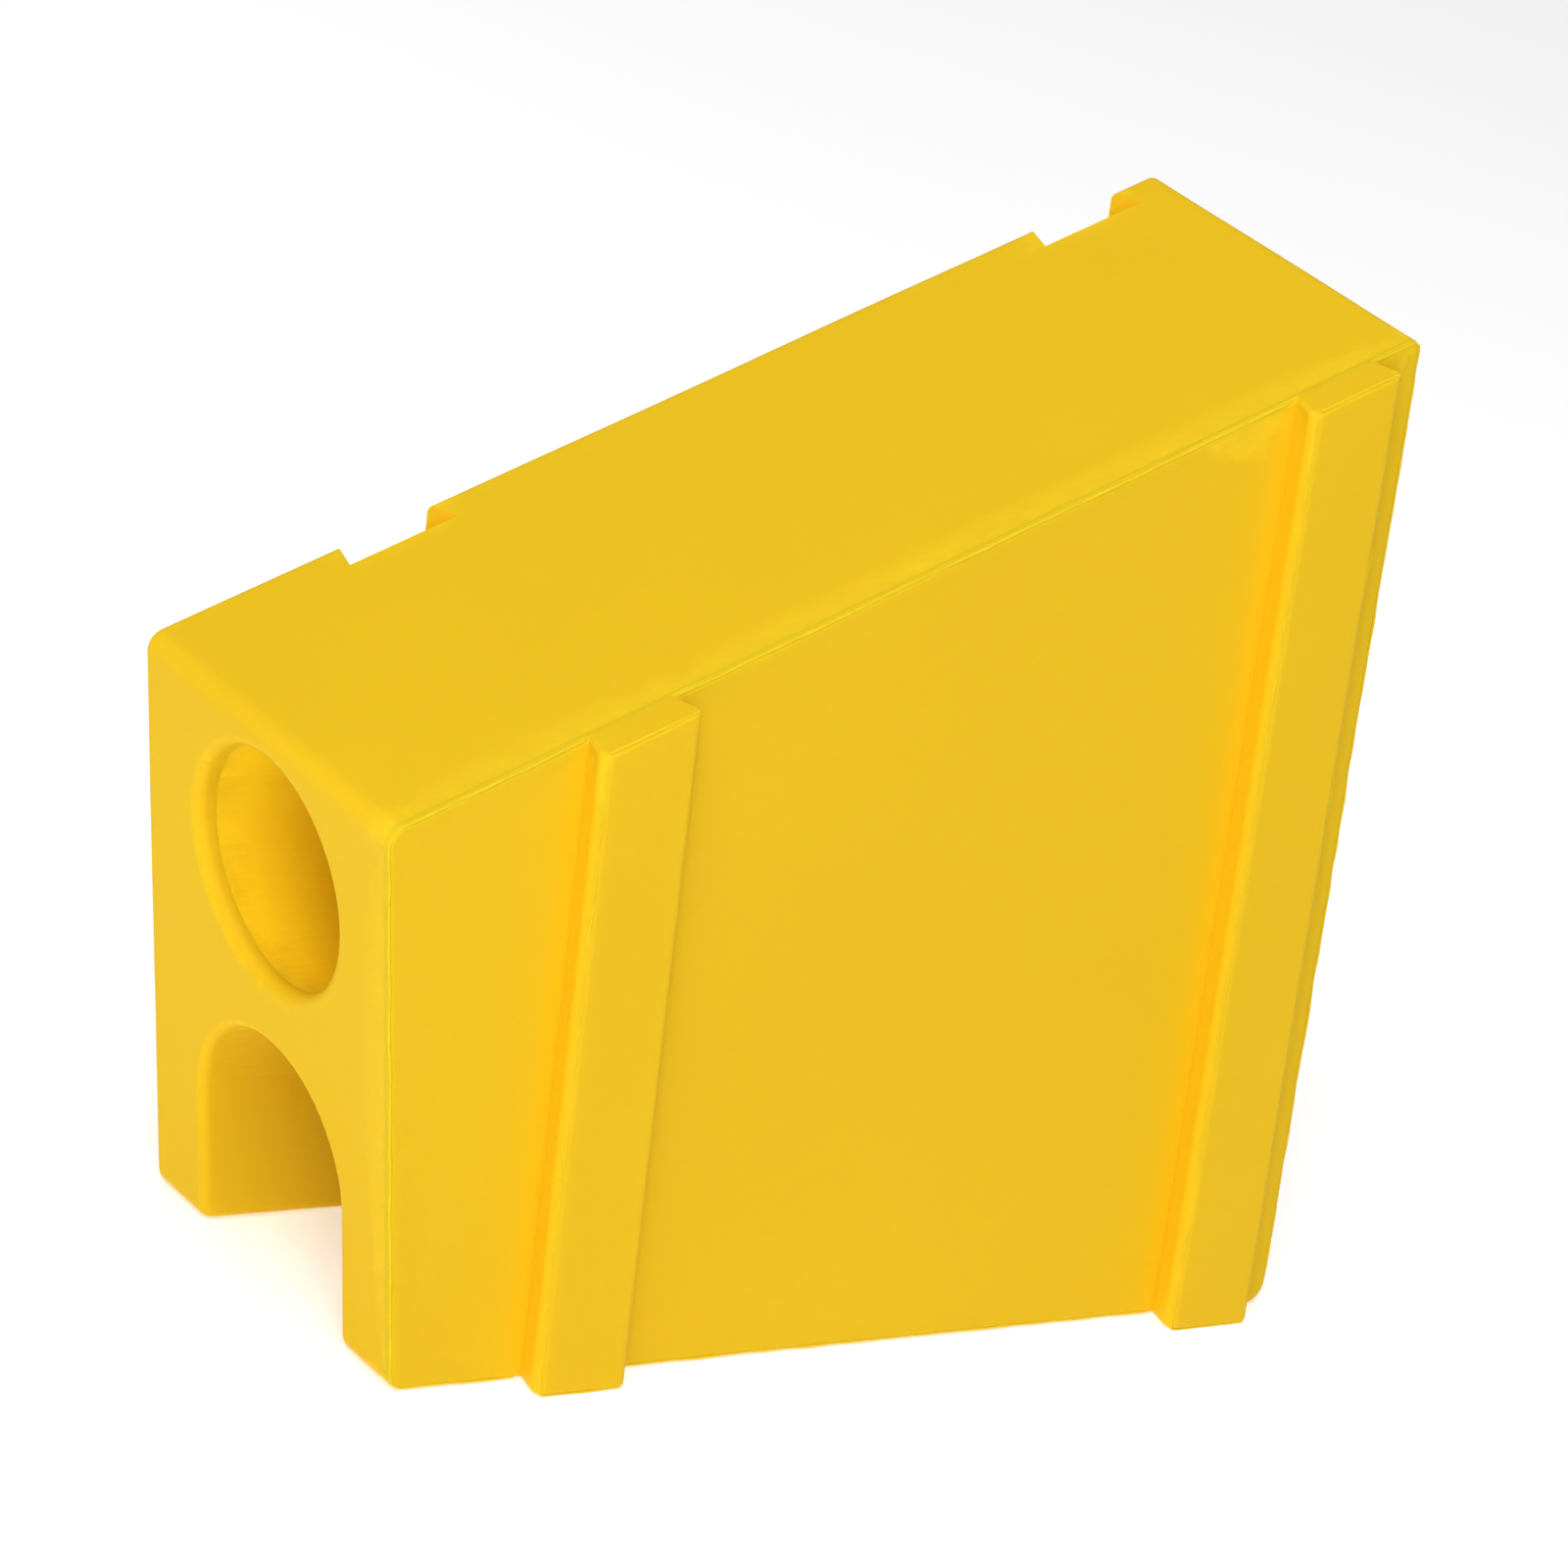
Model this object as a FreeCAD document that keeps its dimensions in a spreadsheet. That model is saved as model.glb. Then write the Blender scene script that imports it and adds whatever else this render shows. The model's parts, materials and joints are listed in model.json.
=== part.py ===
import FreeCAD, Part
import math
import os
import Sketcher
from FreeCAD import Placement, Rotation, Vector

# Parking wheel stop module: a leaning, hollow moulded block that stands on two legs.
# The front (low end) faces -X, the rear (tall end) faces +X, the welded side cover with its two
# dovetail ribs faces -Y, and the matching dovetail sockets are in the far wall, facing +Y.
# The outline is drawn with x = 0 at the front foot of the block and z = 0 at its sole. Every piece's
# placement then moves it by the "frame" sheet, which puts the origin at the middle of the whole
# object's footprint.

DIMENSIONS = {
    # side outline of the block
    "base_length": 219.0,
    "front_height": 114.0,
    "rear_height": 210.0,
    "front_lean": 17.6,
    "rear_lean": 11.9,
    "block_width": 80.0,
    "wall": 4.0,
    # corner radii of the outline and of the side edges
    "front_top_radius": 4.0,
    "rear_top_radius": 2.0,
    "front_foot_radius": 4.0,
    "rear_foot_radius": 4.0,
    "far_edge_radius": 2.0,
    "cover_edge_radius": 1.2,
    # round bore along the length and the drain tunnel below it
    "bore_radius": 22.5,
    "bore_height": 86.5,
    "bore_rim_radius": 2.5,
    "tube_wall": 3.0,
    "tunnel_half_width": 23.0,
    "tunnel_spring": 28.2,
    "tunnel_rim_radius": 2.0,
    # dovetails: ribs on the cover, sockets in the far wall
    "rib_front_x": 39.5,
    "rib_pitch": 159.0,
    "rib_height": 6.8,
    "rib_tip_width": 22.0,
    "dovetail_angle": 14.0,
    "rib_edge_radius": 2.0,
    "rib_end_radius": 1.0,
    "rib_wall": 3.5,
    "socket_depth": 7.1,
    "socket_clearance": 0.5,
    # welded seam between the shell and the side cover
    "seam_inset": 1.5,
    "spigot_clearance": 0.15,
    # two cross webs inside the shell
    "web_front_x": 92.0,
    "web_pitch": 53.0,
    # rubber pads under the legs
    "pad_length": 52.0,
    "pad_width": 9.0,
    "pad_thickness": 2.4,
    "pad_recess": 2.0,
    "pad_front_x": 56.0,
    "pad_pitch": 74.0,
    "pad_y": 31.0,
    "pad_corner": 2.0,
    "tread_width": 2.0,
    "tread_depth": 0.8,
    "tread_pitch": 8.0,
    "tread_count": 6,
    # filler hole in the rear wall, its bung and its seal
    "filler_height": 160.0,
    "filler_radius": 14.0,
    "filler_boss_radius": 23.0,
    "filler_boss_depth": 9.0,
    "filler_recess_radius": 18.4,
    "filler_recess_depth": 3.0,
    "plug_head_radius": 18.0,
    "plug_head_height": 3.0,
    "plug_shank_radius": 13.7,
    "plug_shank_length": 11.0,
    "plug_slot_length": 22.0,
    "plug_slot_width": 3.0,
    "plug_slot_depth": 1.6,
    "plug_wall": 4.5,
    "plug_head_edge": 0.8,
    "plug_groove_start": 1.5,
    "seal_radius": 1.25,
    "seal_clearance": 0.05,
}

document = FreeCAD.newDocument("parking_wheel_stop")


def filled_sheet(name, numbers):
    """Spreadsheet with one aliased row per number."""
    result = document.addObject("Spreadsheet::Sheet", name)
    for row, (alias, number) in enumerate(numbers.items(), start=1):
        result.set("A%d" % row, alias)
        result.set("B%d" % row, str(number))
        result.setAlias("B%d" % row, alias)
    document.recompute()
    return result


sheet = filled_sheet("dims", DIMENSIONS)
frame = filled_sheet("frame", {"origin_x": 0.0, "origin_y": 0.0, "origin_z": 0.0})

SIDE_PLANE = "XZ_Plane"
FLOOR_PLANE = "XY_Plane"
REACH = 500.0     # longer than the block in every direction
BEFORE = -120.0   # where a bar along the block starts, in front of it
MARGIN = 20.0     # how far a cutting solid runs past the block
OVERCUT = 1.0     # how far a cutting solid runs past the face that it opens
TOUCH = 0.01      # two places closer than this are the same
NEAR_ARC = 0.05   # the same, for a point on a rounded edge
STRAIGHT = 0.99   # cosine above which a direction counts as along an axis
RISES = 0.7       # least cosine to the upright of an edge that climbs


def value(expression):
    """The number that an expression over the sheet gives."""
    result = sheet.evalExpression(expression)
    return float(getattr(result, "Value", result))


def bind(item, **expressions):
    """Tie properties to expressions; a double underscore in a name stands for a dot."""
    for name, expression in expressions.items():
        item.setExpression(name.replace("__", "."), expression)
    return item


def origin_plane(body, role):
    return next(feature for feature in body.Origin.OriginFeatures if feature.Role == role)


def polygon(sketch, corners):
    """Closed polygon whose corners are pairs of expressions from the sketch's origin."""
    points = [Vector(value(x), value(y), 0) for x, y in corners]
    count = len(points)
    for index in range(count):
        sketch.addGeometry(Part.LineSegment(points[index], points[(index + 1) % count]), False)
    for index in range(count):
        sketch.addConstraint(Sketcher.Constraint("Coincident", index, 2, (index + 1) % count, 1))
    for index, (x, y) in enumerate(corners):
        for axis, expression in (("X", x), ("Y", y)):
            place = points[index].x if axis == "X" else points[index].y
            number = sketch.addConstraint(
                Sketcher.Constraint("Distance" + axis, -1, 1, index, 1, place))
            sketch.setExpression("Constraints[%d]" % number, expression)


def slab(name, corners, near, far):
    """Body: a side outline padded from y = near to y = far (both expressions)."""
    body = document.addObject("PartDesign::Body", name)
    sketch = body.newObject("Sketcher::SketchObject", name + "_outline")
    sketch.AttachmentSupport = (origin_plane(body, SIDE_PLANE), [""])
    sketch.MapMode = "FlatFace"
    bind(sketch, AttachmentOffset__Base__z="-(%s)" % far)
    document.recompute()
    polygon(sketch, corners)
    pad = body.newObject("PartDesign::Pad", name + "_pad")
    pad.Profile = sketch
    bind(pad, Length="(%s) - (%s)" % (far, near))
    document.recompute()
    return body


def chosen_numbers(shape, chosen):
    """Numbers of the edges that chosen(edge) picks."""
    return [number for number, edge in enumerate(shape.Edges, start=1) if chosen(edge)]


def fillet_body(body, name, radius, chosen):
    """Round the edges of the body's tip that chosen(edge) picks."""
    base = body.Tip
    fillet = body.newObject("PartDesign::Fillet", name)
    fillet.Base = (base, ["Edge%d" % number for number in chosen_numbers(base.Shape, chosen)])
    bind(fillet, Radius=radius)
    document.recompute()
    return fillet


def soften(name, base, radius, chosen):
    """Part::Fillet over the edges of base that chosen(edge) picks."""
    document.recompute()
    fillet = document.addObject("Part::Fillet", name)
    fillet.Base = base
    size = value(radius)
    fillet.Edges = [(number, size, size) for number in chosen_numbers(base.Shape, chosen)]
    document.recompute()
    return fillet


def join(name, *pieces):
    fusion = document.addObject("Part::MultiFuse", name)
    fusion.Shapes = list(pieces)
    return fusion


def overlap(name, *pieces):
    common = document.addObject("Part::MultiCommon", name)
    common.Shapes = list(pieces)
    return common


def cut(name, base, tool):
    result = document.addObject("Part::Cut", name)
    result.Base = base
    result.Tool = tool
    return result


def cylinder_along_x(name, radius, height):
    """Cylinder along the block's length, its axis at y = 0 and z = height."""
    cylinder = document.addObject("Part::Cylinder", name)
    cylinder.Placement = Placement(Vector(BEFORE, 0, 0), Rotation(Vector(0, 1, 0), 90))
    cylinder.Height = REACH
    return bind(cylinder, Radius=radius, Placement__Base__z=height)


def box(name, low, size):
    """Box from its low corner and its size, each three expressions."""
    block = document.addObject("Part::Box", name)
    return bind(block, Placement__Base__x=low[0], Placement__Base__y=low[1],
                Placement__Base__z=low[2], Length=size[0], Width=size[1], Height=size[2])


def leaning_bar(name, corners):
    """Bar of constant plan section that leans with the rear face, past sole and top."""
    section = document.addObject("Sketcher::SketchObject", name + "_section")
    polygon(section, corners)
    bar = document.addObject("Part::Extrusion", name)
    bar.Base = section
    bar.DirMode = "Custom"
    bar.Dir = Vector(0, 0, 1)
    bar.Solid = True
    bar.LengthFwd = REACH
    bar.LengthRev = MARGIN
    return bind(bar, Dir__x="-sin(dims.rear_lean)", Dir__z="cos(dims.rear_lean)")


def mirrored_section(middle, near, far, near_half, far_half):
    """Plan section, symmetric about x = middle, with its own half width at each y."""
    return [("(%s) - (%s)" % (middle, near_half), near), ("(%s) + (%s)" % (middle, near_half), near),
            ("(%s) + (%s)" % (middle, far_half), far), ("(%s) - (%s)" % (middle, far_half), far)]


# the row's origin in the drawing, which every piece's placement takes off
ORIGIN = ("frame.origin_x", "frame.origin_y", "frame.origin_z")

# ---------------------------------------------------------------- outline of the block

FRONT_TAN = "tan(dims.front_lean)"
REAR_TAN = "tan(dims.rear_lean)"


def side_outline(front, rear, top, sole):
    """Side outline with each face moved inwards by an expression, along that face's normal."""
    slope = "((dims.rear_height - dims.front_height) / (dims.base_length"
    slope += " - dims.rear_height * %s + dims.front_height * %s))" % (REAR_TAN, FRONT_TAN)
    front_x = "((%s) / cos(dims.front_lean))" % front
    rear_x = "(dims.base_length - (%s) / cos(dims.rear_lean))" % rear
    crown = "(dims.front_height + %s * dims.front_height * %s" % (slope, FRONT_TAN)
    crown += " - (%s) * sqrt(1 + %s ^ 2))" % (top, slope)
    # front face: x = front_x - z tan(front_lean); top face: z = crown + slope x
    front_top = "((%s + %s * %s) / (1 + %s * %s))" % (crown, slope, front_x, slope, FRONT_TAN)
    rear_top = "((%s + %s * %s) / (1 + %s * %s))" % (crown, slope, rear_x, slope, REAR_TAN)
    return [("%s - (%s) * %s" % (front_x, sole, FRONT_TAN), sole),
            ("%s - (%s) * %s" % (rear_x, sole, REAR_TAN), sole),
            ("%s - %s * %s" % (rear_x, rear_top, REAR_TAN), rear_top),
            ("%s - %s * %s" % (front_x, front_top, FRONT_TAN), front_top)]


OUTSIDE = side_outline("0", "0", "0", "0")
INSIDE = side_outline("dims.wall", "dims.wall", "dims.wall", "dims.wall")
SPIGOT_GAP = "dims.wall + dims.spigot_clearance"
SPIGOT = side_outline(SPIGOT_GAP, SPIGOT_GAP, SPIGOT_GAP, SPIGOT_GAP)
TUBE_SPAN = side_outline("dims.wall", "0", "0", "0")

HALF_WIDTH = "dims.block_width / 2"
FAR_FACE = HALF_WIDTH
NEAR_FACE = "-(%s)" % HALF_WIDTH
SEAM = "%s + dims.seam_inset" % NEAR_FACE
FAR_INSIDE = "%s - dims.wall" % FAR_FACE
NEAR_INSIDE = "%s + dims.wall" % NEAR_FACE


def crosses_block(edge):
    """Straight edge that runs across the block, along Y."""
    direction = edge.lastVertex().Point - edge.firstVertex().Point
    return direction.Length > TOUCH and abs(direction.y) > STRAIGHT * direction.Length


def is_near(number, wanted, tolerance=TOUCH):
    return abs(number - wanted) < tolerance


def is_at(edge, corner):
    """True for an edge across the block that passes the corner of the side outline."""
    middle = edge.CenterOfMass
    return is_near(middle.x, corner.x) and is_near(middle.z, corner.z)


def all_at_y(edge, y):
    return all(is_near(vertex.Y, y) for vertex in edge.Vertexes)


def round_outline(body):
    """Round the four cross edges of an outline slab, the tops first and then the feet."""
    front_top_x = "-dims.front_height * %s" % FRONT_TAN
    rear_top_x = "dims.base_length - dims.rear_height * %s" % REAR_TAN
    for part, x, z in (("front_top", front_top_x, "dims.front_height"),
                       ("rear_top", rear_top_x, "dims.rear_height"),
                       ("front_foot", "0", "0"),
                       ("rear_foot", "dims.base_length", "0")):
        corner = Vector(value(x), 0, value(z))
        fillet_body(body, "%s_%s" % (body.Name, part), "dims.%s_radius" % part,
                    lambda edge: crosses_block(edge) and is_at(edge, corner))


# ---------------------------------------------------------------- cutting solids

tunnel_legs = box("tunnel_legs", [str(BEFORE), "-dims.tunnel_half_width", "-%s" % MARGIN],
                  [str(REACH), "2 * dims.tunnel_half_width", "dims.tunnel_spring + %s" % MARGIN])
tunnel_vault = cylinder_along_x("tunnel_vault", "dims.tunnel_half_width", "dims.tunnel_spring")
bore = cylinder_along_x("bore", "dims.bore_radius", "dims.bore_height")

RIB_X = ["dims.rib_front_x", "dims.rib_front_x + dims.rib_pitch"]
DOVETAIL_TAN = "tan(dims.dovetail_angle)"
PLAN = "cos(dims.rear_lean)"   # a plan width is the true width of a leaning bar over this


def rib_bar(name, middle):
    """Dovetail rib: narrow at the cover's face, wide at its tip."""
    tip = "dims.rib_tip_width / 2 / %s" % PLAN
    tip_y = "%s - dims.rib_height" % NEAR_FACE
    root = "(dims.rib_tip_width / 2 - (dims.rib_height + dims.seam_inset) * %s) / %s" % (
        DOVETAIL_TAN, PLAN)
    return leaning_bar(name, mirrored_section(middle, tip_y, SEAM, tip, root))


def rib_core_bar(name, middle):
    """The hollow behind a rib, which leaves the rib's own wall."""
    tip = "(dims.rib_tip_width / 2 - dims.rib_wall * (1 + %s)) / %s" % (DOVETAIL_TAN, PLAN)
    tip_y = "%s - dims.rib_height + dims.rib_wall" % NEAR_FACE
    open_y = "%s + %s" % (NEAR_INSIDE, OVERCUT)
    return leaning_bar(name, mirrored_section(middle, tip_y, open_y, tip, tip))


def socket_bar(name, middle, grow):
    """Dovetail socket in the far wall; grow adds the wall that backs it."""
    bottom = "(dims.rib_tip_width / 2 + dims.socket_clearance + (%s)) / %s" % (grow, PLAN)
    bottom_y = "%s - dims.socket_depth - (%s)" % (FAR_FACE, grow)
    mouth_y = "%s + %s" % (FAR_FACE, OVERCUT)
    mouth = "(dims.rib_tip_width / 2 + dims.socket_clearance + (%s)" % grow
    mouth += " - (dims.socket_depth + %s + (%s)) * %s) / %s" % (OVERCUT, grow, DOVETAIL_TAN, PLAN)
    return leaning_bar(name, mirrored_section(middle, bottom_y, mouth_y, bottom, mouth))


sockets = [socket_bar("socket_%d" % number, middle, "0") for number, middle in enumerate(RIB_X, 1)]
socket_backs = [socket_bar("socket_back_%d" % number, middle, "dims.wall")
                for number, middle in enumerate(RIB_X, 1)]

# ---------------------------------------------------------------- body shell

form = slab("shell_form", OUTSIDE, SEAM, FAR_FACE)
round_outline(form)
far_y = value(FAR_FACE)
fillet_body(form, "shell_form_far_edges", "dims.far_edge_radius", lambda edge: all_at_y(edge, far_y))

carved = cut("carved_form", form, join("outside_cuts", tunnel_legs, tunnel_vault, bore, *sockets))
document.recompute()


def samples(edge, count=8):
    """Points along an edge; none for a degenerate one."""
    if edge.Degenerated or edge.Length < TOUCH:
        return []
    step = (edge.LastParameter - edge.FirstParameter) / (count - 1)
    return [edge.valueAt(edge.FirstParameter + step * index) for index in range(count)]


def on_end_face(point):
    """True on the leaning front face or on the leaning rear face."""
    front_x = -point.z * math.tan(math.radians(value("dims.front_lean")))
    rear_x = value("dims.base_length") - point.z * math.tan(math.radians(value("dims.rear_lean")))
    return is_near(point.x, front_x, NEAR_ARC) or is_near(point.x, rear_x, NEAR_ARC)


def is_front_bore_rim(edge):
    bore_z = value("dims.bore_height")
    radius = value("dims.bore_radius")

    def on_rim(point):
        from_axis = math.hypot(point.y, point.z - bore_z)
        return point.x < 0 and on_end_face(point) and is_near(from_axis, radius, NEAR_ARC)

    points = samples(edge)
    return bool(points) and all(on_rim(point) for point in points)


def is_tunnel_rim(edge):
    half = value("dims.tunnel_half_width")
    spring = value("dims.tunnel_spring")

    def on_rim(point):
        from_axis = math.hypot(point.y, max(point.z - spring, 0))
        return on_end_face(point) and is_near(from_axis, half, NEAR_ARC)

    points = samples(edge)
    return bool(points) and all(on_rim(point) for point in points)


soft_bore = soften("soft_bore_rim", carved, "dims.bore_rim_radius", is_front_bore_rim)
soft_form = soften("soft_tunnel_rims", soft_bore, "dims.tunnel_rim_radius", is_tunnel_rim)

# the hollow inside: the inset outline less the tunnel's walls, the sockets' walls, the two cross
# webs and the boss behind the filler hole
cavity = slab("cavity", INSIDE, "%s - %s" % (SEAM, OVERCUT), FAR_INSIDE)
vault_walls = join(
    "vault_walls",
    box("vault_legs", [str(BEFORE), "-(dims.tunnel_half_width + dims.wall)", "0"],
        [str(REACH), "2 * (dims.tunnel_half_width + dims.wall)", "dims.tunnel_spring"]),
    cylinder_along_x("vault_crown", "dims.tunnel_half_width + dims.wall", "dims.tunnel_spring"))


def web_bar(name, middle):
    half = "dims.wall / 2 / %s" % PLAN
    return leaning_bar(name, mirrored_section(middle, NEAR_INSIDE, FAR_FACE, half, half))


webs = [web_bar("web_1", "dims.web_front_x"), web_bar("web_2", "dims.web_front_x + dims.web_pitch")]


def on_filler_axis(item, start, origin=("0", "0", "0")):
    """Stand a piece whose own axis is +Z on the filler's axis, start millimetres outside the wall."""
    item.Placement = Placement(Vector(0, 0, 0), Rotation(Vector(0, 1, 0), 90))
    item.setExpression("Placement.Rotation.Angle", "90 - dims.rear_lean")
    along = "dims.base_length - dims.filler_height * %s + (%s) * cos(dims.rear_lean)" % (REAR_TAN, start)
    up = "dims.filler_height + (%s) * sin(dims.rear_lean)" % start
    return bind(item, Placement__Base__x="%s - %s" % (along, origin[0]),
                Placement__Base__y="-%s" % origin[1],
                Placement__Base__z="%s - %s" % (up, origin[2]))


def rear_disc(name, radius, outside, inside):
    """Cylinder on the filler's axis, between two distances from the rear face."""
    disc = document.addObject("Part::Cylinder", name)
    bind(disc, Radius=radius, Height="(%s) + (%s)" % (outside, inside))
    return on_filler_axis(disc, "-(%s)" % inside)


filler_boss = rear_disc("filler_boss", "dims.filler_boss_radius", "0", "dims.filler_boss_depth")
filler_recess = rear_disc("filler_recess", "dims.filler_recess_radius", str(OVERCUT),
                          "dims.filler_recess_depth")
filler_hole = rear_disc("filler_hole", "dims.filler_radius", str(OVERCUT),
                        "dims.filler_boss_depth + %s" % OVERCUT)

hollow = cut("hollow", cavity, join("left_standing", vault_walls, filler_boss, *(socket_backs + webs)))
# the tube's outside, which is also its seat in the shell: it stops short of the front face and
# comes out flush with the rear face
tube_outside = overlap(
    "tube_outside", slab("tube_span", TUBE_SPAN, "-dims.block_width", "dims.block_width"),
    cylinder_along_x("tube_rod", "dims.bore_radius + dims.tube_wall", "dims.bore_height"))


def pad_low_corner(index):
    """Low corner of one pad's place: index 0, 1 at the near leg, 2, 3 at the far leg."""
    at_rear = index % 2 == 1
    side = "-dims.pad_y" if index < 2 else "dims.pad_y"
    x = "dims.pad_front_x + dims.pad_pitch" if at_rear else "dims.pad_front_x"
    return x, "%s - dims.pad_width / 2" % side


PAD_NAMES = ["near_front_pad", "near_rear_pad", "far_front_pad", "far_rear_pad"]
recesses = []
for index, pad_name in enumerate(PAD_NAMES):
    low_x, low_y = pad_low_corner(index)
    recesses.append(box(pad_name + "_recess", [low_x, low_y, "-%s" % OVERCUT],
                        ["dims.pad_length", "dims.pad_width", "dims.pad_recess + %s" % OVERCUT]))

inside_cuts = join("inside_cuts", hollow, tube_outside, filler_recess, filler_hole, *recesses)
body_shell = cut("body_shell", soft_form, inside_cuts)

# ---------------------------------------------------------------- bore tube

bore_tube = cut("bore_tube", tube_outside, bore)

# ---------------------------------------------------------------- side cover with its two ribs

flange = slab("cover_flange", OUTSIDE, NEAR_FACE, SEAM)
round_outline(flange)
near_y = value(NEAR_FACE)
fillet_body(flange, "cover_flange_edge", "dims.cover_edge_radius", lambda edge: all_at_y(edge, near_y))
spigot = slab("cover_spigot", SPIGOT, SEAM, NEAR_INSIDE)
RIB_TIP = "%s - dims.rib_height" % NEAR_FACE
rib_limits = slab("rib_limits", OUTSIDE, "%s - %s" % (RIB_TIP, OVERCUT), SEAM)
round_outline(rib_limits)
rib_bars = [rib_bar("rib_bar_%d" % number, middle) for number, middle in enumerate(RIB_X, 1)]
ribs = overlap("ribs", rib_limits, join("rib_bars", *rib_bars))
tip_y = value(RIB_TIP)


def climbs(edge):
    """True for an edge that runs up the rib, along its lean."""
    direction = edge.tangentAt(edge.FirstParameter)
    return abs(direction.z) > RISES


soft_flanks = soften("soft_rib_flanks", ribs, "dims.rib_edge_radius",
                     lambda edge: all_at_y(edge, tip_y) and climbs(edge))
soft_ribs = soften("soft_ribs", soft_flanks, "dims.rib_end_radius",
                   lambda edge: all_at_y(edge, tip_y) and not climbs(edge))
core_limits = slab("rib_core_limits", SPIGOT, RIB_TIP, "%s + %s" % (NEAR_INSIDE, OVERCUT))
core_bars = [rib_core_bar("rib_core_%d" % number, middle) for number, middle in enumerate(RIB_X, 1)]
cores = overlap("rib_cores", core_limits, join("rib_core_bars", *core_bars))
side_cover = cut("side_cover", join("cover_solid", flange, spigot, soft_ribs), cores)

# ---------------------------------------------------------------- rubber pads


def rubber_pad(name, index):
    """Flat pad with rounded corners and shallow cross treads on its underside."""
    body = document.addObject("PartDesign::Body", name)
    sketch = body.newObject("Sketcher::SketchObject", name + "_plan")
    sketch.AttachmentSupport = (origin_plane(body, FLOOR_PLANE), [""])
    sketch.MapMode = "FlatFace"
    document.recompute()
    polygon(sketch, [("0", "0"), ("dims.pad_length", "0"), ("dims.pad_length", "dims.pad_width"),
                     ("0", "dims.pad_width")])
    pad = body.newObject("PartDesign::Pad", name + "_pad")
    pad.Profile = sketch
    bind(pad, Length="dims.pad_thickness")
    document.recompute()
    fillet_body(body, name + "_corners", "dims.pad_corner",
                lambda edge: abs(edge.tangentAt(edge.FirstParameter).z) > STRAIGHT)
    before = body.Shape.Volume
    tread = body.newObject("Sketcher::SketchObject", name + "_tread")
    tread.AttachmentSupport = (origin_plane(body, FLOOR_PLANE), [""])
    tread.MapMode = "FlatFace"
    document.recompute()
    span = "dims.tread_pitch * (dims.tread_count - 1)"
    start = "(dims.pad_length - %s - dims.tread_width) / 2" % span
    end = "%s + dims.tread_width" % start
    near = "-%s" % OVERCUT
    far = "dims.pad_width + %s" % OVERCUT
    polygon(tread, [(start, near), (end, near), (end, far), (start, far)])
    pocket = body.newObject("PartDesign::Pocket", name + "_first_tread")
    pocket.Profile = tread
    pocket.Reversed = True
    bind(pocket, Length="dims.tread_depth")
    document.recompute()
    pattern = body.newObject("PartDesign::LinearPattern", name + "_treads")
    pattern.Originals = [pocket]
    pattern.Direction = (origin_plane(body, "X_Axis"), [""])
    bind(pattern, Length=span, Occurrences="dims.tread_count")
    body.Tip = pattern
    document.recompute()
    if not body.Shape.Volume < before:
        raise RuntimeError("the treads cut nothing in " + name)
    low_x, low_y = pad_low_corner(index)
    low_z = "dims.pad_recess - dims.pad_thickness"
    return bind(body, Placement__Base__x="%s - %s" % (low_x, ORIGIN[0]),
                Placement__Base__y="%s - %s" % (low_y, ORIGIN[1]),
                Placement__Base__z="%s - %s" % (low_z, ORIGIN[2]))


pads = [rubber_pad(name, index) for index, name in enumerate(PAD_NAMES)]

# ---------------------------------------------------------------- filler plug and seal

# the seal squeezes to a little less than the hole, and the groove is cut to the seal's inside
SEAL_THICKNESS = "2 * (dims.seal_radius - dims.seal_clearance)"
GROOVE_START = "dims.plug_head_height + dims.plug_groove_start"
GROOVE_WIDTH = "(2 * dims.seal_radius + 2 * dims.seal_clearance)"


def turned_plug(name):
    """Bung turned about Z: head above, shank with an O-ring groove below, hollow from the inside."""
    body = document.addObject("PartDesign::Body", name)
    profile = body.newObject("Sketcher::SketchObject", name + "_profile")
    profile.AttachmentSupport = (origin_plane(body, SIDE_PLANE), [""])
    profile.MapMode = "FlatFace"
    document.recompute()
    seat = "dims.filler_radius - 2 * dims.seal_radius"
    groove_top = "-(%s)" % GROOVE_START
    groove_bottom = "%s - %s" % (groove_top, GROOVE_WIDTH)
    bottom = "-dims.plug_head_height - dims.plug_shank_length"
    core = "dims.plug_shank_radius - dims.plug_wall"
    polygon(profile, [("0", "0"), ("dims.plug_head_radius", "0"),
                      ("dims.plug_head_radius", "-dims.plug_head_height"),
                      ("dims.plug_shank_radius", "-dims.plug_head_height"),
                      ("dims.plug_shank_radius", groove_top), (seat, groove_top),
                      (seat, groove_bottom), ("dims.plug_shank_radius", groove_bottom),
                      ("dims.plug_shank_radius", bottom), (core, bottom),
                      (core, "-dims.plug_head_height"), ("0", "-dims.plug_head_height")])
    turned = body.newObject("PartDesign::Revolution", name + "_turned")
    turned.Profile = profile
    turned.ReferenceAxis = (profile, ["V_Axis"])
    turned.Angle = 360
    document.recompute()
    fillet_body(body, name + "_head_edge", "dims.plug_head_edge",
                lambda edge: is_near(edge.CenterOfMass.z, 0) and type(edge.Curve) is Part.Circle)
    slot = body.newObject("Sketcher::SketchObject", name + "_slot")
    slot.AttachmentSupport = (origin_plane(body, FLOOR_PLANE), [""])
    slot.MapMode = "FlatFace"
    document.recompute()
    end = "dims.plug_slot_length / 2"
    side = "dims.plug_slot_width / 2"
    polygon(slot, [("-%s" % end, "-%s" % side), (end, "-%s" % side), (end, side), ("-%s" % end, side)])
    before = body.Shape.Volume
    pocket = body.newObject("PartDesign::Pocket", name + "_coin_slot")
    pocket.Profile = slot
    bind(pocket, Length="dims.plug_slot_depth")
    document.recompute()
    if not body.Shape.Volume < before:
        raise RuntimeError("the coin slot cut nothing in " + name)
    return body


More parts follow.
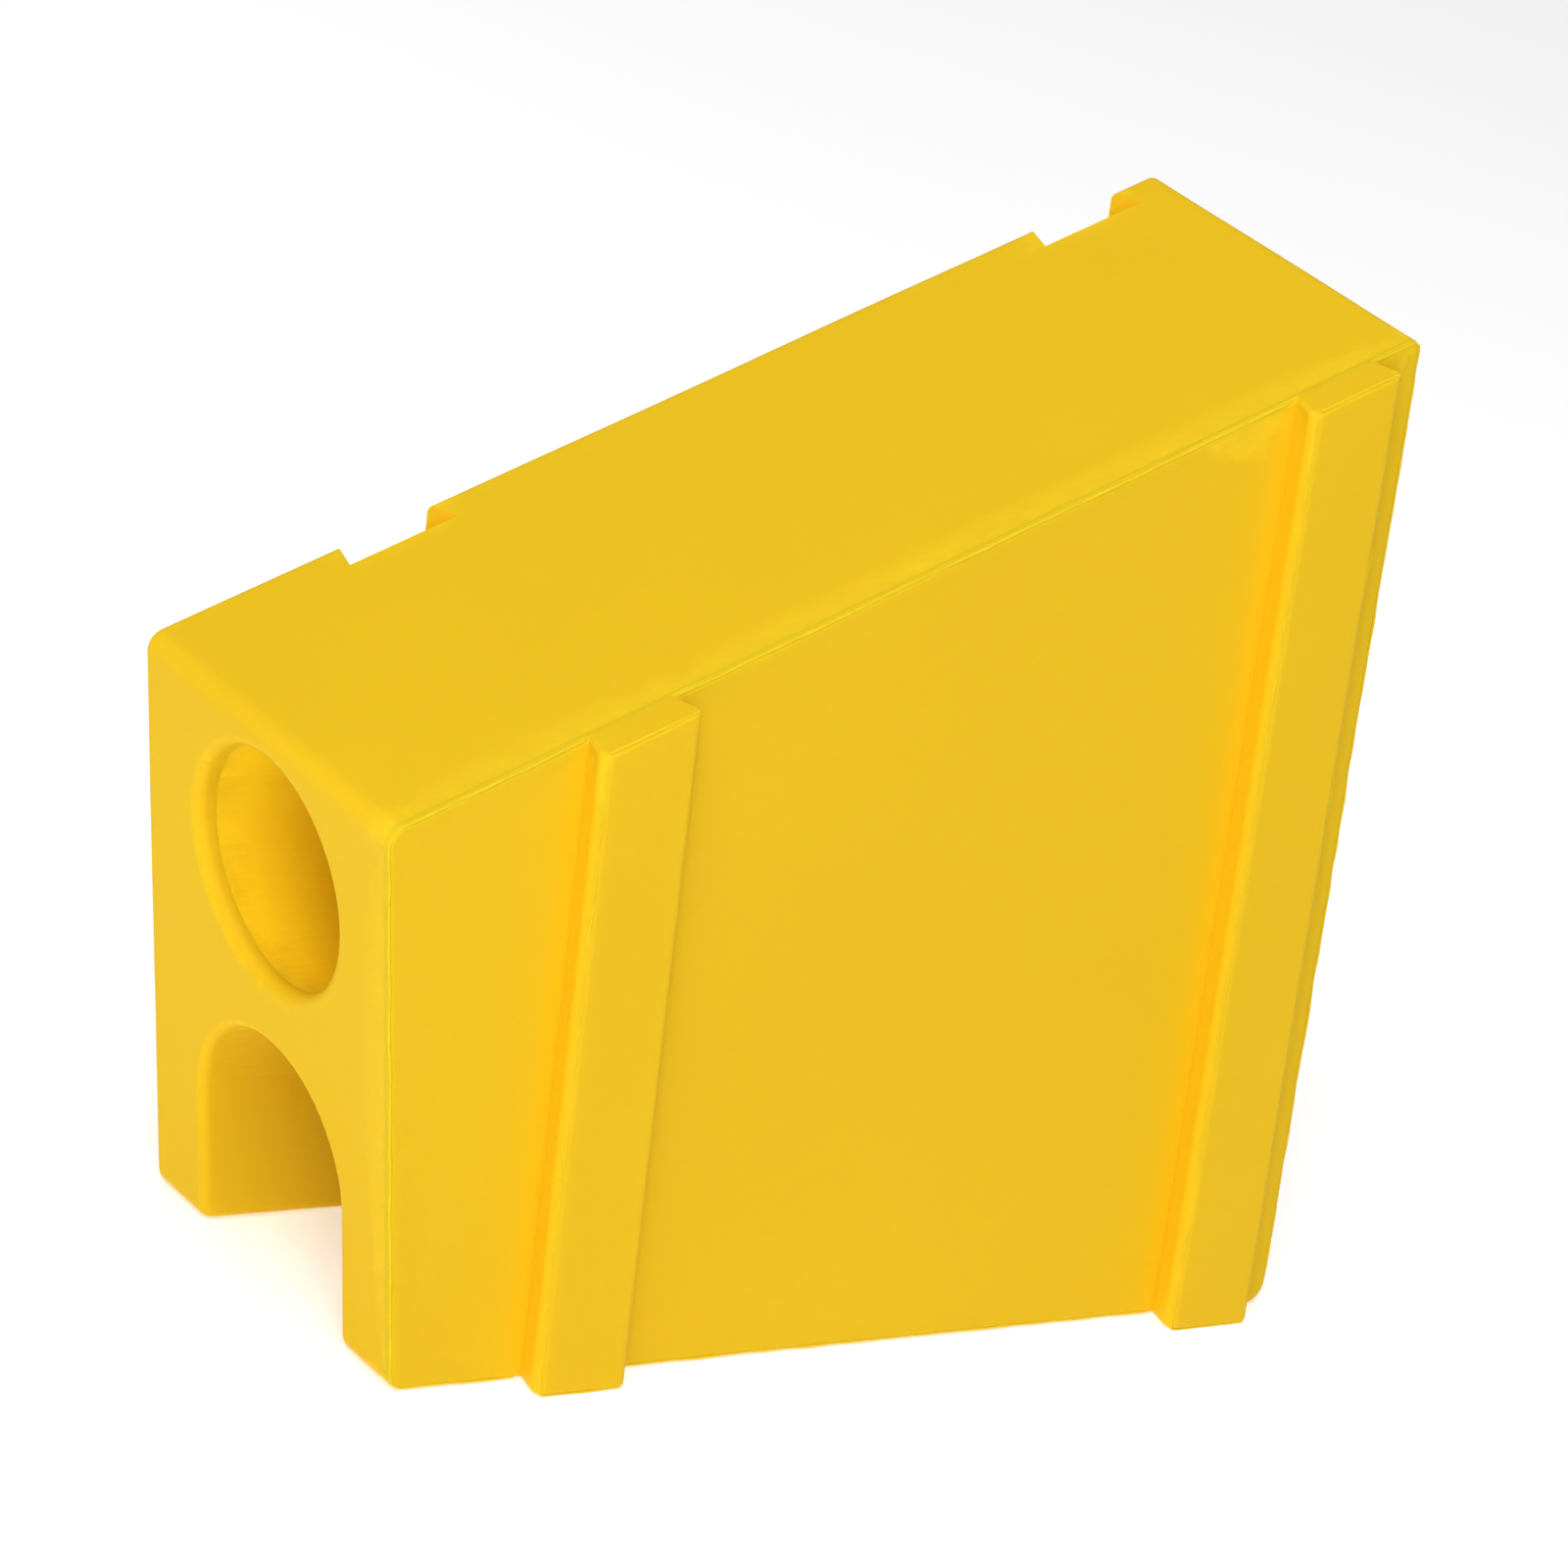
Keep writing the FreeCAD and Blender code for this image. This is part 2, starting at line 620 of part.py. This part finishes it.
PLUG_TOP = "dims.plug_head_height - dims.filler_recess_depth"   # outside the rear face
filler_plug = on_filler_axis(turned_plug("filler_plug"), PLUG_TOP, ORIGIN)

plug_seal = document.addObject("Part::Torus", "plug_seal")
bind(plug_seal, Radius1="dims.filler_radius - dims.seal_radius", Radius2="%s / 2" % SEAL_THICKNESS)
on_filler_axis(plug_seal, "%s - (%s) - %s / 2" % (PLUG_TOP, GROOVE_START, GROOVE_WIDTH), ORIGIN)

# ---------------------------------------------------------------- frame, checks and files

for item in (body_shell, side_cover, bore_tube):
    bind(item, Placement__Base__x="-%s" % ORIGIN[0], Placement__Base__y="-%s" % ORIGIN[1],
         Placement__Base__z="-%s" % ORIGIN[2])
document.recompute()

NODES = [body_shell, side_cover, bore_tube, filler_plug, plug_seal] + pads
whole = Part.makeCompound([item.Shape for item in NODES]).optimalBoundingBox(False, False)
footprint = {"origin_x": (whole.XMin + whole.XMax) / 2, "origin_y": (whole.YMin + whole.YMax) / 2,
             "origin_z": whole.ZMin}
for alias, place in footprint.items():
    frame.set(frame.getCellFromAlias(alias), "%.4f" % place)
document.recompute()

for item in document.Objects:
    if "Invalid" in item.State or "Error" in item.State:
        raise RuntimeError("%s failed: %s" % (item.Name, item.State))

os.makedirs("parts", exist_ok=True)
for item in NODES:
    item.Label = item.Name
    if item.Shape.isNull() or not item.Shape.isValid():
        raise RuntimeError("%s has no valid shape" % item.Name)
    print("%-16s solids %d  volume %9.1f mm3  box %s" % (
        item.Label, len(item.Shape.Solids), item.Shape.Volume,
        item.Shape.optimalBoundingBox(False, False)))
    item.Shape.exportStep(os.path.join("parts", item.Label + ".step"))
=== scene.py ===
import json
import math

import bmesh
import bpy
from mathutils import Matrix, Vector, noise


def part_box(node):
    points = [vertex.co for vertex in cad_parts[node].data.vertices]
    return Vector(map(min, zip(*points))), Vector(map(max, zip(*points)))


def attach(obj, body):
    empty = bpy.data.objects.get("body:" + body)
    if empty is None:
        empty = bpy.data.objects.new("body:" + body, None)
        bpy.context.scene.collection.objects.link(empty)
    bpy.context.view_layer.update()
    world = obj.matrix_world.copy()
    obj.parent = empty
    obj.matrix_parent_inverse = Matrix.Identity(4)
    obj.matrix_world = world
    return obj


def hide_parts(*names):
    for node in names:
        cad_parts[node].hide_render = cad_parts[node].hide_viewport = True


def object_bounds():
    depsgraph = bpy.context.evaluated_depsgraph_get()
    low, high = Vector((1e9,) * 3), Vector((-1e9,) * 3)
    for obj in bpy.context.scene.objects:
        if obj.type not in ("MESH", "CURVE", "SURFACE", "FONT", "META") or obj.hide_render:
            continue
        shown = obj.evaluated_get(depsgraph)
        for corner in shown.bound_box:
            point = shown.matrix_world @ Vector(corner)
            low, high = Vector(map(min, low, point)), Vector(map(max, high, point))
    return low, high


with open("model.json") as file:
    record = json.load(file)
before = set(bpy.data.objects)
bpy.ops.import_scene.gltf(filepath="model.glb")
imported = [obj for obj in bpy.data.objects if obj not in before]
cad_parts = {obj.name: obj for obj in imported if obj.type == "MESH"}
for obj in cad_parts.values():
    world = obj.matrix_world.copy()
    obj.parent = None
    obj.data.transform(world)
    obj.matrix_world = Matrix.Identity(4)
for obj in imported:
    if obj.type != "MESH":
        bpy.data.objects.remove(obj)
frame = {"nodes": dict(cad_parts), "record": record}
CAD_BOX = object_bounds()

MM = 0.001
CENTRE = (CAD_BOX[0] + CAD_BOX[1]) / 2
SLOTS = {entry["node"]: entry["material_slot"] for entry in frame["record"]["subparts"]}


# ---------------------------------------------------------------- materials


class Surface:
    """A procedural material in the object's own coordinates, in metres."""

    def __init__(self, name):
        self.material = bpy.data.materials.new(name)
        self.material.use_nodes = True
        self.tree = self.material.node_tree
        self.shader = self.tree.nodes["Principled BSDF"]
        self.place = self.tree.nodes.new("ShaderNodeTexCoord").outputs["Object"]
        self.relief = None

    def link(self, value, socket):
        self.tree.links.new(value, socket)

    def clouds(self, scale, detail=2.0):
        """Soft noise, about 0.3 to 0.7, with scale features to a metre."""
        texture = self.tree.nodes.new("ShaderNodeTexNoise")
        texture.inputs["Scale"].default_value = scale
        texture.inputs["Detail"].default_value = detail
        self.link(self.place, texture.inputs["Vector"])
        return texture.outputs["Fac"]

    def span(self, value, low, high, start=0.3, end=0.7):
        """value from start to end becomes low to high, and stops there."""
        ranged = self.tree.nodes.new("ShaderNodeMapRange")
        ranged.inputs["From Min"].default_value = start
        ranged.inputs["From Max"].default_value = end
        ranged.inputs["To Min"].default_value = low
        ranged.inputs["To Max"].default_value = high
        self.link(value, ranged.inputs["Value"])
        return ranged.outputs["Result"]

    def mix(self, amount, low, high):
        """Colour between low and high; either may be a colour or an output."""
        node = self.tree.nodes.new("ShaderNodeMix")
        node.data_type = "RGBA"
        self.link(amount, node.inputs["Factor"])
        for value, socket in ((low, node.inputs[6]), (high, node.inputs[7])):
            if isinstance(value, tuple):
                socket.default_value = (*value, 1)
            else:
                self.link(value, socket)
        return node.outputs[2]

    def bump(self, height, strength, distance):
        """Adds a relief on top of those added before."""
        node = self.tree.nodes.new("ShaderNodeBump")
        node.inputs["Strength"].default_value = strength
        node.inputs["Distance"].default_value = distance
        self.link(height, node.inputs["Height"])
        if self.relief:
            self.link(self.relief, node.inputs["Normal"])
        self.relief = node.outputs["Normal"]
        self.link(self.relief, self.shader.inputs["Normal"])

    def hollows(self, reach):
        """0 where the surface is open, rising to 1 in a hollow or a corner within that reach; it marks where
        light bounced about in hollows is painted into the colour.
        """
        shelter = self.tree.nodes.new("ShaderNodeAmbientOcclusion")
        shelter.samples = 6
        shelter.only_local = True
        shelter.inputs["Distance"].default_value = reach
        return self.span(shelter.outputs["AO"], 1, 0, 0.45, 0.97)

    def edges(self):
        """0 on flats, rising to 1 on outside edges."""
        geometry = self.tree.nodes.new("ShaderNodeNewGeometry")
        return self.span(geometry.outputs["Pointiness"], 0, 1, 0.505, 0.56)


def moulded_plastic(name, pale, deep, hollow_glow):
    """Satin polyethylene: clouded colour, a painted glow of bounced light in the hollows, fine grain, edges
    lightened partly by wear and partly by a painted highlight.
    """
    surface = Surface(name)
    colour = surface.mix(surface.span(surface.clouds(16.0, 3.0), 0, 1), deep, pale)
    # painted glow: the colour turns brighter and redder in hollows and corners, standing in for light
    # bounced about inside them
    colour = surface.mix(surface.hollows(HOLLOW_GLOW_REACH), colour, hollow_glow)
    # edges are lightened in patches: partly wear, partly a painted highlight along the rounded edges
    edge_patchiness = surface.span(surface.clouds(260.0, 4.0), 0.35, 1.0)
    edge_wear_and_highlight = surface.tree.nodes.new("ShaderNodeMath")
    edge_wear_and_highlight.operation = "MULTIPLY"
    surface.link(surface.edges(), edge_wear_and_highlight.inputs[0])
    surface.link(edge_patchiness, edge_wear_and_highlight.inputs[1])
    surface.link(surface.mix(edge_wear_and_highlight.outputs[0], colour, WEAR_AND_HIGHLIGHT), surface.shader.inputs["Base Color"])
    surface.link(surface.span(surface.clouds(45.0, 4.0), 0.42, 0.56), surface.shader.inputs["Roughness"])
    surface.bump(surface.clouds(28.0, 1.0), 0.25, 0.6 * MM)
    surface.bump(surface.clouds(1100.0, 3.0), 0.18, 0.12 * MM)
    surface.shader.inputs["Specular IOR Level"].default_value = SHEEN
    surface.shader.inputs["Subsurface Weight"].default_value = GLOW
    surface.shader.inputs["Subsurface Radius"].default_value = (1.0, 0.45, 0.05)
    surface.shader.inputs["Subsurface Scale"].default_value = GLOW_DEPTH
    return surface.material


def black_plastic(name):
    """Fine-grained black plastic, a little uneven in its polish."""
    surface = Surface(name)
    surface.link(surface.mix(surface.span(surface.clouds(60.0, 3.0), 0, 1), (0.018, 0.018, 0.019),
                             (0.032, 0.032, 0.034)), surface.shader.inputs["Base Color"])
    surface.link(surface.span(surface.clouds(90.0, 4.0), 0.38, 0.6), surface.shader.inputs["Roughness"])
    surface.bump(surface.clouds(900.0, 3.0), 0.3, 0.15 * MM)
    return surface.material


def rubber(name, dust):
    """Dull rubber with a dusty bloom and a coarse grain."""
    surface = Surface(name)
    surface.link(surface.mix(surface.span(surface.clouds(140.0, 5.0), 0, 1, 0.45, 0.75),
                             (0.016, 0.016, 0.016), dust), surface.shader.inputs["Base Color"])
    surface.link(surface.span(surface.clouds(200.0, 4.0), 0.7, 0.92), surface.shader.inputs["Roughness"])
    surface.bump(surface.clouds(1600.0, 2.0), 0.4, 0.2 * MM)
    return surface.material


PALE = (0.708, 0.450, 0.0120)   # the yellow's lighter clouds
DEEP = (0.690, 0.436, 0.0110)   # the yellow's darker clouds
SHELL_HOLLOW_GLOW = (0.970, 0.515, 0.0030)   # painted glow: a brighter, redder yellow that stands in for light bounced about in the shell's deep hollows
COVER_HOLLOW_GLOW = (0.810, 0.505, 0.0095)   # painted glow: the same for the cover's shallow hollows beside the ribs
WEAR_AND_HIGHLIGHT = (0.800, 0.520, 0.0150)   # the yellow on the edges: lighter partly from wear and partly as a painted highlight along them
SHEEN = 0.03           # how strongly the plastic mirrors
GLOW = 0.25            # share of the light that goes a little way into the plastic
GLOW_DEPTH = 5.0 * MM  # how far the red part of it goes
HOLLOW_GLOW_REACH = 26 * MM       # reach within which walls make a hollow that gets the painted glow
MATERIALS = {
    "shell_plastic": moulded_plastic("shell_plastic", PALE, DEEP, SHELL_HOLLOW_GLOW),
    "cover_plastic": moulded_plastic("cover_plastic", PALE, DEEP, COVER_HOLLOW_GLOW),
    # the tube's yellow is painted lighter than the shell's, standing in for light falling into the bore; its
    # third colour is the painted glow in its hollows
    "tube_plastic": moulded_plastic("tube_plastic", (0.995, 0.655, 0.016), (0.985, 0.640, 0.014),
                                    (0.995, 0.650, 0.012)),
    "plug_plastic": black_plastic("plug_plastic"),
    "seal_rubber": rubber("seal_rubber", (0.03, 0.03, 0.03)),
    "pad_rubber": rubber("pad_rubber", (0.05, 0.048, 0.045)),
}

# ---------------------------------------------------------------- pieces

MOUNTS = {mount["name"]: mount for mount in frame["record"]["mounts"]}
BORE = Vector(MOUNTS["through_bore"]["pos_m"])
CALM_BORE = 27 * MM         # inside this radius the bore and its rim stay true
FADE = 12 * MM              # over this distance the unevenness starts
NEAR = Vector((0, -1, 0))   # outward from the ribbed side
FLAT = 0.9999               # least cosine to NEAR of a face that lies flat on that side
ROUND = 0.5                 # least cosine to NEAR of the first strip of a rounded edge
PANEL_EDGE = 1.2 * MM       # radius of the side cover's rounded edge
RIB_EDGE = 2.0 * MM         # radius of the ribs' rounded edges
BEAD = 0.29 * MM            # usual radius of the trim line
SWAY = 0.16 * MM            # how far the trim line wanders off the middle of its edge
BEAD_SIDES = 8              # sides of the trim line's section
STEP = 4.5 * MM             # spacing of the cuts that let a surface carry the unevenness
WELD = 0.002 * MM           # points nearer than this are one point
SHARP = math.radians(32)    # faces that meet at a larger angle show an edge
LEVEL_STEP = 0.01 * MM      # how finely the flat areas' levels are told apart
LEVEL_SLACK = 0.02 * MM     # how far a point of a flat area may be off its level
BEAD_STEP = 1.2 * MM        # spacing of the rings along the trim line
BEAD_CHANGE = 0.45          # how much the trim line's radius changes, as a share of it
BEAD_TAPER = 0.2            # radius of its ends, as a share of the usual one
BEAD_LEAN = math.radians(45)   # where on the rounded edge it lies, measured from the flat side
WAVES = ((20.0, 0.14 * MM), (75.0, 0.03 * MM))   # unevenness: waves to a metre, height
SEED = 11                   # noise_vector draws its offsets at random, so they are fixed here
noise.seed_set(SEED)


def planes(low, high, step):
    """Whole steps between low and high, the same for every piece, so that pieces that touch match."""
    return [step * count for count in range(math.ceil(low / step), math.floor(high / step) + 1)]


def unevenness(point):
    """How far the moulding stands off its nominal place there; pieces that touch move together."""
    from_bore = math.hypot(point.y - BORE.y, point.z - BORE.z) - CALM_BORE
    free = min(1.0, max(0.0, from_bore / FADE))
    return sum((noise.noise_vector(point * waves) * height for waves, height in WAVES), Vector()) * free


def worked(name, uneven):
    """The node's surface as a shown piece, cut finely enough to carry the moulding's unevenness."""
    node = frame["nodes"][name]
    work = bmesh.new()
    work.from_mesh(node.data)
    work.transform(node.matrix_world)
    bmesh.ops.remove_doubles(work, verts=work.verts, dist=WELD)
    low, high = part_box(name)
    if uneven:
        for axis in range(3):
            across = Vector([1.0 if part == axis else 0.0 for part in range(3)])
            for place in planes(low[axis], high[axis], STEP):
                bmesh.ops.bisect_plane(work, geom=work.verts[:] + work.edges[:] + work.faces[:],
                                       dist=WELD, plane_co=across * place, plane_no=across)
        bmesh.ops.triangulate(work, faces=work.faces[:])
        for vertex in work.verts:
            vertex.co += unevenness(vertex.co)
    piece = show(name + "_piece", work, SLOTS[name])
    weights = piece.modifiers.new("even_shading", "WEIGHTED_NORMAL")
    weights.keep_sharp = True
    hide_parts(name)


def show(name, work, slot):
    """A finished mesh as a piece of the object, smooth but for its sharp edges."""
    work.normal_update()
    for face in work.faces:
        face.smooth = True
    for edge in work.edges:
        edge.smooth = edge.calc_face_angle(0) < SHARP
    mesh = bpy.data.meshes.new(name)
    work.to_mesh(mesh)
    work.free()
    mesh.materials.append(MATERIALS[slot])
    piece = bpy.data.objects.new(name, mesh)
    bpy.context.scene.collection.objects.link(piece)
    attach(piece, "root")
    return piece


def near_planes(work):
    """Levels of the two flat areas on the ribbed side: (rib tips, panel)."""
    areas = {}
    for face in work.faces:
        if face.normal.dot(NEAR) > FLAT:
            level = round(face.calc_center_median().y / LEVEL_STEP)
            areas[level] = areas.get(level, 0) + face.calc_area()
    levels = sorted(areas, key=areas.get, reverse=True)[:2]
    return sorted(level * LEVEL_STEP for level in levels)


def outline_points(work, level):
    """Middle of the rounded edge round each flat area at that level, as lists of points in order."""
    steps = {}
    for edge in work.edges:
        if len(edge.link_faces) != 2:
            continue
        if any(abs(vertex.co.y - level) > LEVEL_SLACK for vertex in edge.verts):
            continue
        flat = [face for face in edge.link_faces if face.normal.dot(NEAR) > FLAT]
        other = [face for face in edge.link_faces if ROUND < face.normal.dot(NEAR) <= FLAT]
        if len(flat) == 1 and len(other) == 1:
            outward = other[0].normal - NEAR * other[0].normal.dot(NEAR)
            for vertex in edge.verts:
                steps.setdefault(vertex, []).append((edge.other_vert(vertex), outward.normalized()))
    chains = []
    left = set(steps)
    while left:
        ends = [vertex for vertex in left if len(steps[vertex]) == 1]
        here = min(ends or left, key=lambda vertex: tuple(vertex.co))
        closed = not ends
        chain = []
        while here is not None:
            left.discard(here)
            away = sum((outward for other, outward in steps[here]), Vector()).normalized()
            chain.append((here.co.copy(), away))
            here = next((other for other, outward in steps[here] if other in left), None)
        if closed:
            chain.append(chain[0])
        chains.append(chain)
    return chains


def evenly(points, step):
    """The same path with a point every step."""
    out = [points[0]]
    carried = 0.0
    for start, end in zip(points, points[1:]):
        length = (end - start).length
        along = step - carried
        while along < length:
            out.append(start.lerp(end, along / length))
            along += step
        carried = (carried + length) % step
    return out


def add_bead(work, points):
    """Thin irregular raised line along the points, sunk to its middle in the surface."""
    path = evenly(points, BEAD_STEP)
    if len(path) < 4:
        return
    rings = []
    for index, point in enumerate(path):
        ahead, behind = path[min(index + 1, len(path) - 1)], path[max(index - 1, 0)]
        along = (ahead - behind).normalized()
        side = along.cross(NEAR).normalized()
        up = side.cross(along)
        middle = point + unevenness(point) + noise.noise_vector(point * 130.0) * SWAY
        size = BEAD * (1.0 + BEAD_CHANGE * noise.noise(point * 170.0 + Vector((3, 8, 5))))
        if index in (0, len(path) - 1):
            size *= BEAD_TAPER
        rings.append([work.verts.new(middle + (side * math.cos(turn) + up * math.sin(turn)) * size)
                      for turn in (math.tau * part / BEAD_SIDES for part in range(BEAD_SIDES))])
    for first, second in zip(rings, rings[1:]):
        for part in range(BEAD_SIDES):
            beside = (part + 1) % BEAD_SIDES
            work.faces.new((first[part], first[beside], second[beside], second[part]))
    work.faces.new(rings[0][::-1])
    work.faces.new(rings[-1])


def edge_beads():
    """Trim lines on the rounded edges of the side cover and of its ribs."""
    source = bmesh.new()
    source.from_mesh(frame["nodes"]["side_cover"].data)
    source.transform(frame["nodes"]["side_cover"].matrix_world)
    bmesh.ops.remove_doubles(source, verts=source.verts, dist=WELD)
    source.normal_update()
    bead = bmesh.new()
    tips, panel = near_planes(source)
    for level, round_radius in ((tips, RIB_EDGE), (panel, PANEL_EDGE)):
        for chain in outline_points(source, level):
            out, down = round_radius * math.sin(BEAD_LEAN), round_radius * (1 - math.cos(BEAD_LEAN))
            add_bead(bead, [place + away * out - NEAR * down for place, away in chain])
    source.free()
    bmesh.ops.recalc_face_normals(bead, faces=bead.faces[:])
    show("cover_trim_line", bead, "cover_plastic")


for name in ("body_shell", "side_cover", "bore_tube"):
    worked(name, uneven=True)
for name in ("filler_plug", "plug_seal", "near_front_pad", "near_rear_pad", "far_front_pad", "far_rear_pad"):
    worked(name, uneven=False)
edge_beads()


# ---------------------------------------------------------------- camera, floor and light


VIEW_TURN = math.radians(-43.828)    # from the -Y direction, about the upright
VIEW_HEIGHT = math.radians(20.857)   # above the level
VIEW_ROLL = math.radians(-16.839)
VIEW_DISTANCE = 1.338                # from the camera to the target
VIEW_TARGET = Vector((CENTRE.x - 4.0 * MM, CENTRE.y + 2.0 * MM, 101.1 * MM))
LENS = 164.25                        # focal length, for a sensor SENSOR wide, both in mm
SENSOR = 36.0
FLOOR_REACH = 12.0                   # from the middle to each side
LIGHT_DISTANCE = 2.0                 # from the object's middle


def camera():
    """The camera at the angle from which the low front, the top and the ribbed side all show."""
    along = math.cos(VIEW_HEIGHT)
    forward = Vector((-math.sin(VIEW_TURN) * along, math.cos(VIEW_TURN) * along, -math.sin(VIEW_HEIGHT)))
    level = forward.cross(Vector((0, 0, 1))).normalized()
    upright = level.cross(forward)
    right = level * math.cos(VIEW_ROLL) - upright * math.sin(VIEW_ROLL)
    up = upright * math.cos(VIEW_ROLL) + level * math.sin(VIEW_ROLL)
    data = bpy.data.cameras.new("camera")
    data.lens = LENS
    data.sensor_width = SENSOR
    data.clip_start = 0.05
    data.clip_end = 50
    item = bpy.data.objects.new("camera", data)
    turn = Matrix((right, up, -forward)).transposed().to_4x4()
    item.matrix_world = Matrix.Translation(VIEW_TARGET - forward * VIEW_DISTANCE) @ turn
    bpy.context.scene.collection.objects.link(item)
    bpy.context.scene.camera = item


def floor(glow):
    """Pale floor that gives off a little light of its own."""
    mesh = bpy.data.meshes.new("floor")
    reach = FLOOR_REACH
    mesh.from_pydata([(-reach, -reach, 0), (reach, -reach, 0), (reach, reach, 0), (-reach, reach, 0)],
                     [], [(0, 1, 2, 3)])
    item = bpy.data.objects.new("floor", mesh)
    bpy.context.scene.collection.objects.link(item)
    surface = Surface("floor_paper")
    surface.link(surface.mix(surface.span(surface.clouds(3.0), 0, 1), (0.90, 0.90, 0.90),
                             (0.92, 0.92, 0.92)), surface.shader.inputs["Base Color"])
    surface.shader.inputs["Roughness"].default_value = 0.9
    surface.shader.inputs["Specular IOR Level"].default_value = 0.1
    surface.shader.inputs["Emission Color"].default_value = (1, 1, 1, 1)
    surface.shader.inputs["Emission Strength"].default_value = glow
    item.data.materials.append(surface.material)


def light(name, towards, size, power):
    """Round soft light that shines on the middle of the object from that direction."""
    data = bpy.data.lights.new(name, "AREA")
    data.shape = "DISK"
    data.size = size
    data.energy = power
    item = bpy.data.objects.new(name, data)
    item.location = CENTRE + Vector(towards).normalized() * LIGHT_DISTANCE
    item.rotation_mode = "QUATERNION"
    item.rotation_quaternion = Vector(towards).to_track_quat("Z", "Y")
    bpy.context.scene.collection.objects.link(item)


def sky(strength):
    """Even white light from all round."""
    world = bpy.data.worlds.new("studio")
    bpy.context.scene.world = world
    world.use_nodes = True
    world.node_tree.nodes["Background"].inputs["Color"].default_value = (1, 1, 1, 1)
    world.node_tree.nodes["Background"].inputs["Strength"].default_value = strength


camera()
floor(0.387)
sky(0.285)
light("key", (-0.60, -0.38, 0.80), size=1.2, power=23.7)
light("fill", (-0.62, -0.70, 0.30), size=0.8, power=11.3)
light("top", (-0.10, -0.10, 1.0), size=1.2, power=9.6)
bpy.context.scene.view_settings.view_transform = "Standard"
